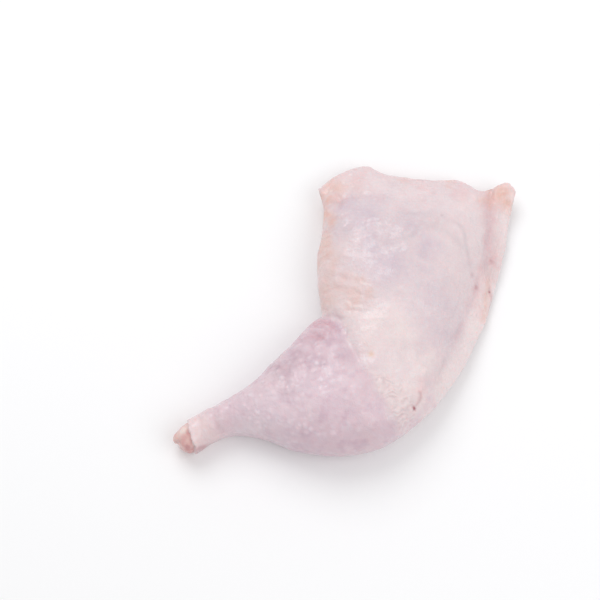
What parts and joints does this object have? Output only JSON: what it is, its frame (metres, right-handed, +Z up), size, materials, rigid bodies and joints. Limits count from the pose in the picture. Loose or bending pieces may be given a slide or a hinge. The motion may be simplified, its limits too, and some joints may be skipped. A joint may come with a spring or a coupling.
{
  "type": "raw chicken leg",
  "caption": "Raw chicken leg, thigh and drumstick in one piece with the skin on, folded at the knee and lying skin side up.",
  "frame": {"origin": "middle of the footprint's bounding box, on the surface that the leg lies on", "axes": "+Z up, away from the rest surface. +X from the hock to the outer side of the thigh. +Y from the knee to the hip edge."},
  "size_m": [0.183, 0.161, 0.0375],
  "materials": {
    "skin": "moist satin, raw poultry skin",
    "meat": "moist, raw dark meat",
    "joint_end": "moist, cartilage and bone"
  },
  "bodies": {
    "root": {"chicken_leg": "skin"}
  },
  "joints": []
}
